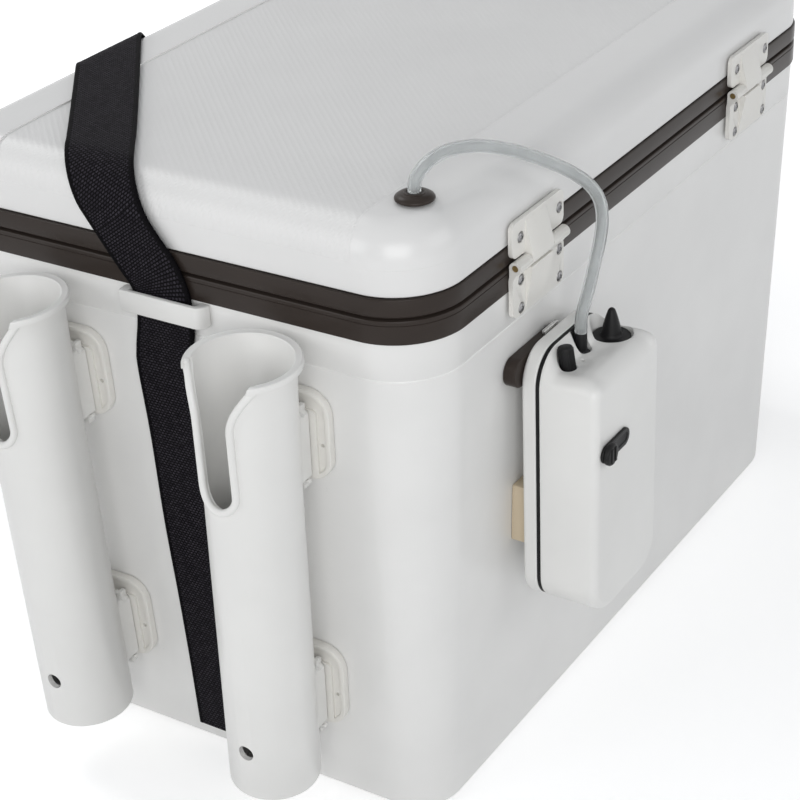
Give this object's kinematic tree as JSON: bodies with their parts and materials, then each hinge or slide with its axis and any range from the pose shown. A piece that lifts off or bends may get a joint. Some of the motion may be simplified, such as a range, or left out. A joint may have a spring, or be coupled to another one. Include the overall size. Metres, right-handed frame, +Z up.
{
  "type": "live bait well",
  "caption": "Insulated bait box with hinged lid, removable rod holders on the end walls, carrying strap and battery air pump on the rear wall.",
  "frame": {"origin": "centre of the base's flat face", "axes": "+X along the box, +Y towards the rear wall with hinges and pump, +Z up"},
  "size_m": [0.6288, 0.3904, 0.3977],
  "materials": {
    "white_plastic": "smooth white moulded plastic",
    "wall_plastic": "smooth white moulded wall",
    "warm_plastic": "warm white nylon",
    "brown_trim": "glossy dark brown band",
    "foam": "expanded foam",
    "rubber": "black rubber",
    "webbing": "woven black webbing",
    "hose": "clear soft vinyl",
    "pin_brass": "aged brass",
    "motor_steel": "plated steel",
    "cell_wrap": "plain cell sleeve",
    "board": "circuit board",
    "spacer_foam": "dense beige spacer",
    "stone": "porous air stone"
  },
  "bodies": {
    "box": {"outer_shell": "wall_plastic", "body_insulation": "foam", "inner_liner": "white_plastic", "lower_rim": "brown_trim", "air_tube_outer": "hose", "air_tube_inner": "hose", "air_stone": "stone", "pump_bracket": "brown_trim", "pump_spacer": "spacer_foam", "pump_back_cover": "white_plastic", "pump_gasket": "rubber", "pump_front_shell": "white_plastic", "pump_outlet": "rubber", "switch_plate": "rubber", "cell_right": "cell_wrap", "cell_left": "cell_wrap", "circuit_board": "board", "pump_motor": "motor_steel", "pump_diaphragm": "rubber", "strap_loop_right": "white_plastic", "strap_tail_right": "webbing", "strap_end_right": "webbing", "hinge_lower_leaf_right": "warm_plastic", "hinge_pin_right": "pin_brass", "latch_keeper_right": "white_plastic", "rod_plate_right_front_upper": "warm_plastic", "rod_plate_right_front_lower": "warm_plastic", "rod_plate_right_rear_upper": "warm_plastic", "rod_plate_right_rear_lower": "warm_plastic", "strap_loop_left": "white_plastic", "strap_tail_left": "webbing", "strap_end_left": "webbing", "hinge_lower_leaf_left": "warm_plastic", "hinge_pin_left": "pin_brass", "latch_keeper_left": "white_plastic", "rod_plate_left_front_upper": "warm_plastic", "rod_plate_left_front_lower": "warm_plastic", "rod_plate_left_rear_upper": "warm_plastic", "rod_plate_left_rear_lower": "warm_plastic"},
    "lid": {"lid_shell": "white_plastic", "upper_rim": "brown_trim", "lid_liner": "white_plastic", "lid_insulation": "foam", "lid_gasket": "rubber", "tube_grommet": "brown_trim", "strap_over_lid": "webbing", "hinge_upper_leaf_right": "warm_plastic", "latch_bracket_right": "white_plastic", "hinge_upper_leaf_left": "warm_plastic", "latch_bracket_left": "white_plastic"},
    "latch_right": {"latch_lever_right": "white_plastic"},
    "holder_right_front": {"rod_holder_right_front": "white_plastic"},
    "holder_right_rear": {"rod_holder_right_rear": "white_plastic"},
    "latch_left": {"latch_lever_left": "white_plastic"},
    "holder_left_front": {"rod_holder_left_front": "white_plastic"},
    "holder_left_rear": {"rod_holder_left_rear": "white_plastic"},
    "switch": {"switch_knob": "rubber"},
    "plug": {"pump_plug": "rubber"},
    "cap": {"pump_cap": "rubber"},
    "cam": {"motor_cam": "warm_plastic"}
  },
  "joints": [
    {"name": "lid_hinge", "type": "hinge", "parent": "box", "child": "lid", "pos_m": [0, 0.1653, 0.3231], "axis": [-1, 0, 0], "range_deg": [0, 95], "deforming": ["air_tube_outer", "air_tube_inner", "strap_end_right", "strap_end_left"]},
    {"name": "latch_right_swing", "type": "hinge", "parent": "lid", "child": "latch_right", "pos_m": [0.1358, -0.1676, 0.346], "axis": [1, 0, 0], "range_deg": [-80, 4]},
    {"name": "latch_left_swing", "type": "hinge", "parent": "lid", "child": "latch_left", "pos_m": [-0.1358, -0.1676, 0.346], "axis": [1, 0, 0], "range_deg": [-80, 4]},
    {"name": "holder_right_front_lift", "type": "slide", "parent": "box", "child": "holder_right_front", "axis": [0.034, -0.0305, 0.999], "range_m": [0, 0.055]},
    {"name": "holder_right_rear_lift", "type": "slide", "parent": "box", "child": "holder_right_rear", "axis": [0.034, 0.0305, 0.999], "range_m": [0, 0.055]},
    {"name": "holder_left_front_lift", "type": "slide", "parent": "box", "child": "holder_left_front", "axis": [-0.034, -0.0305, 0.999], "range_m": [0, 0.055]},
    {"name": "holder_left_rear_lift", "type": "slide", "parent": "box", "child": "holder_left_rear", "axis": [-0.034, 0.0305, 0.999], "range_m": [0, 0.055]},
    {"name": "switch_slide", "type": "slide", "parent": "box", "child": "switch", "axis": [-1, 0, 0], "range_m": [0, 0.009]},
    {"name": "plug_pull", "type": "slide", "parent": "box", "child": "plug", "axis": [0, 0, 1], "range_m": [0, 0.012]},
    {"name": "cap_pull", "type": "slide", "parent": "box", "child": "cap", "axis": [0, 0, 1], "range_m": [0, 0.015]},
    {"name": "motor_spin", "type": "hinge", "parent": "box", "child": "cam", "pos_m": [0.146, 0.1973, 0.234], "axis": [0, 1, 0], "continuous": true}
  ]
}
